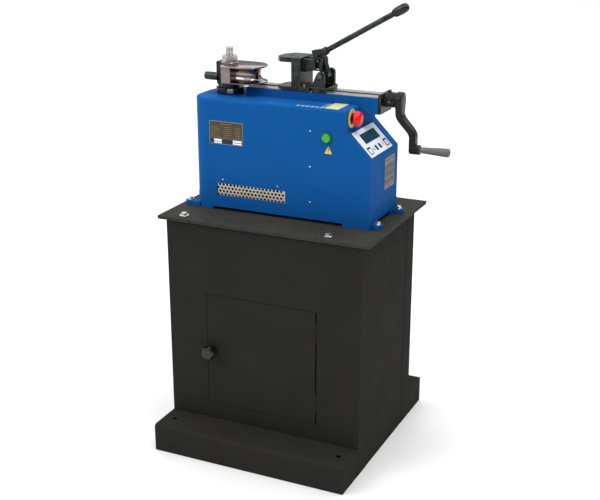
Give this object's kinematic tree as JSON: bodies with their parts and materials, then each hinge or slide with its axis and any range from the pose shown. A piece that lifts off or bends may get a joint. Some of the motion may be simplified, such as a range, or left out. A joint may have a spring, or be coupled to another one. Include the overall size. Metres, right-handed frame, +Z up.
{
  "type": "tube bender",
  "caption": "Powered tube bender on a sheet-steel cabinet: turning former with clamp hook, crank-driven slide with hand lever, control console and hinged cabinet door.",
  "frame": {"origin": "on the floor, under the centre of the cabinet body", "axes": "+X along the slide towards the hand crank, +Y from the operator's side to the rear, +Z up"},
  "size_m": [0.7475, 0.616, 1.2483],
  "materials": {
    "cabinet_black": "satin powder coat",
    "plate_black": "satin textured paint",
    "machine_blue": "gloss paint",
    "black_steel": "blackened steel",
    "bright_steel": "machined steel",
    "zinc": "bright zinc plate",
    "cast_grey": "painted casting",
    "grip_grey": "moulded, matt",
    "black_plastic": "moulded, matt",
    "red_plastic": "moulded, semi-gloss",
    "yellow_plastic": "moulded",
    "green_plastic": "moulded",
    "label_white": "printed film",
    "label_olive": "printed film",
    "display_glass": "glossy window"
  },
  "bodies": {
    "stand": {"cabinet_floor": "cabinet_black", "cabinet_front": "cabinet_black", "cabinet_back": "cabinet_black", "cabinet_left": "cabinet_black", "cabinet_right": "cabinet_black", "front_plinth": "cabinet_black", "rear_plinth": "cabinet_black", "mounting_plate": "plate_black", "plate_bolt_front_left": "zinc", "plate_bolt_front_right": "zinc", "plate_bolt_rear_left": "zinc", "plate_bolt_rear_right": "zinc", "base_skirt": "machine_blue", "base_bolt_front_left": "zinc", "base_bolt_front_right": "zinc", "base_bolt_rear_left": "zinc", "base_bolt_rear_right": "zinc", "front_panel": "machine_blue", "rear_panel": "machine_blue", "left_end_panel": "machine_blue", "housing_floor": "cast_grey", "console_panel": "machine_blue", "top_cover": "machine_blue", "vent_grille": "bright_steel", "rating_plate": "label_olive", "control_membrane": "label_white", "display": "display_glass", "estop_disc": "yellow_plastic", "start_bezel": "black_plastic", "gearbox": "cast_grey", "motor": "cast_grey", "spindle_bearing": "cast_grey", "cable_gland": "black_plastic", "slide_bed": "machine_blue", "slide_rail_front": "bright_steel", "slide_rail_rear": "bright_steel", "screw_bearing_plate": "black_steel"},
    "door": {"door": "cabinet_black"},
    "latch": {"door_knob": "black_plastic"},
    "stop_stem": {"estop_stem": "black_plastic"},
    "stop_head": {"estop_button": "red_plastic"},
    "start": {"start_button": "green_plastic"},
    "spindle": {"spindle": "black_steel", "spindle_key": "bright_steel", "drive_gear": "bright_steel", "former": "bright_steel", "former_washer": "bright_steel", "former_nut": "bright_steel", "clamp_hook": "black_steel"},
    "pinion": {"pinion": "bright_steel"},
    "crank": {"lead_screw": "bright_steel", "crank_arm": "black_steel"},
    "grip": {"crank_grip": "grip_grey"},
    "carriage": {"carriage_base": "black_steel", "lever_pivot_pin": "zinc"},
    "yoke": {"yoke": "black_steel"},
    "lever": {"lever_head": "black_steel", "link_pin": "bright_steel", "lever_rod": "black_steel", "lever_knob": "black_plastic"}
  },
  "joints": [
    {"name": "door_hinge", "type": "hinge", "parent": "stand", "child": "door", "pos_m": [0.162, -0.2, 0.295], "axis": [0, 0, 1], "range_deg": [0, 110]},
    {"name": "latch_turn", "type": "hinge", "parent": "door", "child": "latch", "pos_m": [-0.154, -0.2, 0.294], "axis": [0, 1, 0], "range_deg": [0, 90]},
    {"name": "estop_press", "type": "slide", "parent": "stand", "child": "stop_stem", "axis": [-1, 0, 0], "range_m": [0, 0.005], "stiffness_N_per_m": 600},
    {"name": "estop_twist", "type": "hinge", "parent": "stop_stem", "child": "stop_head", "pos_m": [0.197, -0.0571, 0.9585], "axis": [-1, 0, 0], "range_deg": [0, 45], "stiffness_Nm_per_rad": 0.05},
    {"name": "start_press", "type": "slide", "parent": "stand", "child": "start", "axis": [0, 1, 0], "range_m": [0, 0.003], "stiffness_N_per_m": 400},
    {"name": "spindle_turn", "type": "hinge", "parent": "stand", "child": "spindle", "pos_m": [-0.195, 0.008, 0.9831], "axis": [0, 0, 1], "range_deg": [0, 180]},
    {"name": "pinion_turn", "type": "hinge", "parent": "stand", "child": "pinion", "pos_m": [-0.111, 0.008, 0.79], "axis": [0, 0, 1], "range_deg": [-580, 4]},
    {"name": "carriage_slide", "type": "slide", "parent": "stand", "child": "carriage", "axis": [1, 0, 0], "range_m": [-0.0555, 0.0835]},
    {"name": "crank_turn", "type": "hinge", "parent": "stand", "child": "crank", "pos_m": [0.248, 0.038, 0.9965], "axis": [1, 0, 0], "range_deg": [-3335, 5015]},
    {"name": "grip_spin", "type": "hinge", "parent": "crank", "child": "grip", "pos_m": [0.36, 0.038, 0.869], "axis": [1, 0, 0], "continuous": true},
    {"name": "yoke_slide", "type": "slide", "parent": "carriage", "child": "yoke", "axis": [1, 0, 0], "range_m": [-0.0189, 0.0023]},
    {"name": "lever_swing", "type": "hinge", "parent": "carriage", "child": "lever", "pos_m": [0.082, 0.038, 1.051], "axis": [0, 1, 0], "range_deg": [-41, 6]}
  ],
  "couplings": [
    {"joint": "pinion_turn", "follows": "spindle_turn", "ratio": -3.2},
    {"joint": "crank_turn", "follows": "carriage_slide", "rad_per_m": 1047.2},
    {"joint": "lever_swing", "follows": "yoke_slide", "rad_per_m": 37.037}
  ]
}
